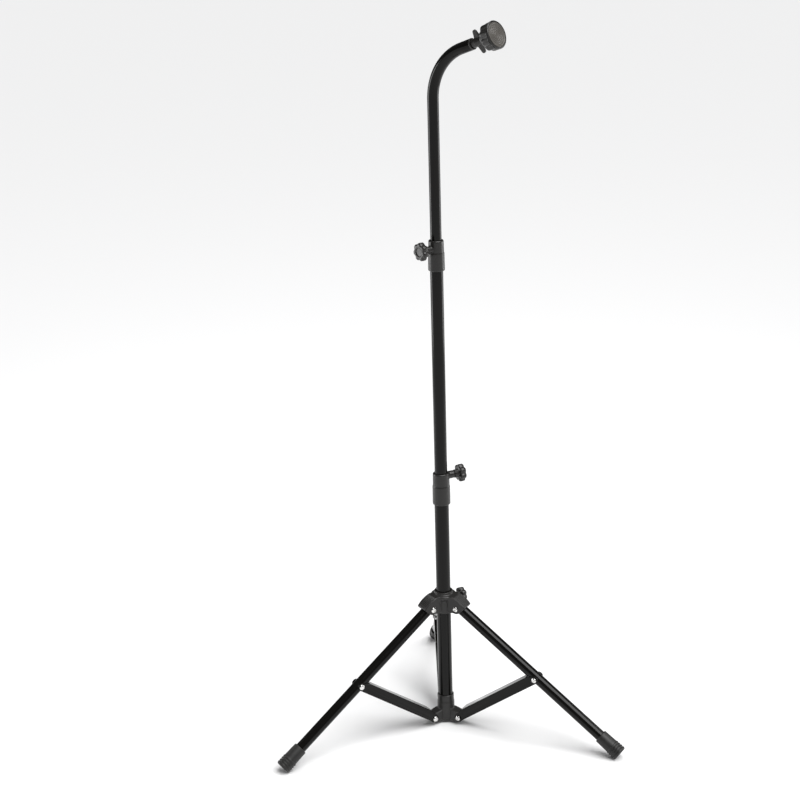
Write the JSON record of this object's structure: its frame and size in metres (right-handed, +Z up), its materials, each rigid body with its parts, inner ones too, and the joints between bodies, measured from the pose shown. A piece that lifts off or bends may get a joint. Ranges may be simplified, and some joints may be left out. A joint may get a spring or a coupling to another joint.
{
  "type": "folding chime stand",
  "caption": "Height-adjustable folding tripod stand with a bent top arm, wing nut and round clamp knob for hanging bar chimes.",
  "frame": {"origin": "centre of the overall box at floor level, on the plane the feet stand on", "axes": "+Z up along the column; one leg points along +Y; the bent arm heads towards +X and -Y"},
  "size_m": [0.5966, 0.5204, 1.2515],
  "materials": {
    "paint": "gloss black",
    "moulded_black": "satin black nylon",
    "moulded_grey": "satin dark grey",
    "foot_rubber": "matte black",
    "bright_steel": "nickel plated",
    "brass": "turned"
  },
  "bodies": {
    "column": {"lower_tube": "paint", "lower_hub": "moulded_black", "lower_collar": "moulded_black", "lower_clamp_insert": "brass", "hub_pivot_1_screw": "bright_steel", "hub_pivot_1_nut": "bright_steel", "hub_pivot_2_screw": "bright_steel", "hub_pivot_2_nut": "bright_steel", "hub_pivot_3_screw": "bright_steel", "hub_pivot_3_nut": "bright_steel"},
    "lower_clamp": {"lower_clamp_knob": "moulded_black", "lower_clamp_screw": "bright_steel"},
    "middle_slider": {"middle_tube_bush": "moulded_grey"},
    "middle": {"middle_tube": "paint", "upper_collar": "moulded_black", "upper_clamp_insert": "brass"},
    "upper_clamp": {"upper_clamp_knob": "moulded_black", "upper_clamp_screw": "bright_steel"},
    "upper_slider": {"upper_tube_bush": "moulded_grey"},
    "arm": {"bent_arm_tube": "paint", "arm_end_plug": "moulded_black", "mounting_stud": "bright_steel"},
    "wing": {"wing_nut": "moulded_black"},
    "clamp_knob": {"clamp_knob_body": "moulded_black", "clamp_knob_insert": "brass", "clamp_knob_cap": "moulded_grey"},
    "crown": {"crown_hub": "moulded_black", "crown_clamp_insert": "brass", "crown_pivot_1_screw": "bright_steel", "crown_pivot_1_nut": "bright_steel", "crown_pivot_2_screw": "bright_steel", "crown_pivot_2_nut": "bright_steel", "crown_pivot_3_screw": "bright_steel", "crown_pivot_3_nut": "bright_steel"},
    "crown_clamp": {"crown_clamp_knob": "moulded_black", "crown_clamp_screw": "bright_steel"},
    "leg_1": {"leg_tube_1": "paint", "leg_foot_1": "foot_rubber", "leg_pivot_1_screw": "bright_steel", "leg_pivot_1_nut": "bright_steel"},
    "brace_1": {"brace_1": "paint"},
    "leg_2": {"leg_tube_2": "paint", "leg_foot_2": "foot_rubber", "leg_pivot_2_screw": "bright_steel", "leg_pivot_2_nut": "bright_steel"},
    "brace_2": {"brace_2": "paint"},
    "leg_3": {"leg_tube_3": "paint", "leg_foot_3": "foot_rubber", "leg_pivot_3_screw": "bright_steel", "leg_pivot_3_nut": "bright_steel"},
    "brace_3": {"brace_3": "paint"}
  },
  "joints": [
    {"name": "tripod_fold", "type": "hinge", "parent": "column", "child": "brace_1", "pos_m": [-0.02555, -0.09606, 0.0145], "axis": [-0.5, 0.866, 0], "range_deg": [0, 49]},
    {"name": "leg_1_pivot", "type": "hinge", "parent": "brace_1", "child": "leg_1", "pos_m": [-0.15441, -0.17045, 0.12103], "axis": [0.5, -0.866, 0], "range_deg": [0, 98]},
    {"name": "crown_ride", "type": "hinge", "parent": "leg_1", "child": "crown", "pos_m": [-0.02555, -0.09606, 0.22756], "axis": [-0.5, 0.866, 0], "range_deg": [0, 49]},
    {"name": "leg_2_pivot", "type": "hinge", "parent": "crown", "child": "leg_2", "pos_m": [0.02555, -0.09606, 0.22756], "axis": [0.5, 0.866, 0], "range_deg": [0, 49]},
    {"name": "brace_2_pivot", "type": "hinge", "parent": "leg_2", "child": "brace_2", "pos_m": [0.15441, -0.17045, 0.12103], "axis": [-0.5, -0.866, 0], "range_deg": [0, 98]},
    {"name": "leg_3_pivot", "type": "hinge", "parent": "crown", "child": "leg_3", "pos_m": [0, -0.05181, 0.22756], "axis": [-1, 0, 0], "range_deg": [0, 49]},
    {"name": "brace_3_pivot", "type": "hinge", "parent": "leg_3", "child": "brace_3", "pos_m": [0, 0.09699, 0.12103], "axis": [1, 0, 0], "range_deg": [0, 98]},
    {"name": "crown_clamp_turn", "type": "hinge", "parent": "crown", "child": "crown_clamp", "pos_m": [0, -0.08131, 0.23556], "axis": [0.866, 0.5, 0], "continuous": true},
    {"name": "lower_clamp_turn", "type": "hinge", "parent": "column", "child": "lower_clamp", "pos_m": [0, -0.08131, 0.467], "axis": [0.9171, 0.3987, 0], "continuous": true},
    {"name": "middle_slide", "type": "slide", "parent": "column", "child": "middle_slider", "axis": [0, 0, 1], "range_m": [-0.355, 0.03]},
    {"name": "middle_swivel", "type": "hinge", "parent": "middle_slider", "child": "middle", "pos_m": [0, -0.08131, 0.5], "axis": [0, 0, 1], "continuous": true},
    {"name": "upper_clamp_turn", "type": "hinge", "parent": "middle", "child": "upper_clamp", "pos_m": [0, -0.08131, 0.87], "axis": [-0.8141, -0.5807, 0], "continuous": true},
    {"name": "upper_slide", "type": "slide", "parent": "middle", "child": "upper_slider", "axis": [0, 0, 1], "range_m": [-0.22, 0.02]},
    {"name": "arm_swivel", "type": "hinge", "parent": "upper_slider", "child": "arm", "pos_m": [0, -0.08131, 0.9], "axis": [0, 0, 1], "continuous": true},
    {"name": "wing_nut_turn", "type": "hinge", "parent": "arm", "child": "wing", "pos_m": [0.06051, -0.13298, 1.21177], "axis": [0.7099, -0.6063, 0.3584], "continuous": true},
    {"name": "clamp_knob_turn", "type": "hinge", "parent": "arm", "child": "clamp_knob", "pos_m": [0.06051, -0.13298, 1.21177], "axis": [0.7099, -0.6063, 0.3584], "continuous": true}
  ],
  "couplings": [
    {"joint": "leg_1_pivot", "follows": "tripod_fold", "ratio": 2},
    {"joint": "crown_ride", "follows": "tripod_fold", "ratio": 1},
    {"joint": "leg_2_pivot", "follows": "tripod_fold", "ratio": 1},
    {"joint": "brace_2_pivot", "follows": "tripod_fold", "ratio": 2},
    {"joint": "leg_3_pivot", "follows": "tripod_fold", "ratio": 1},
    {"joint": "brace_3_pivot", "follows": "tripod_fold", "ratio": 2}
  ]
}
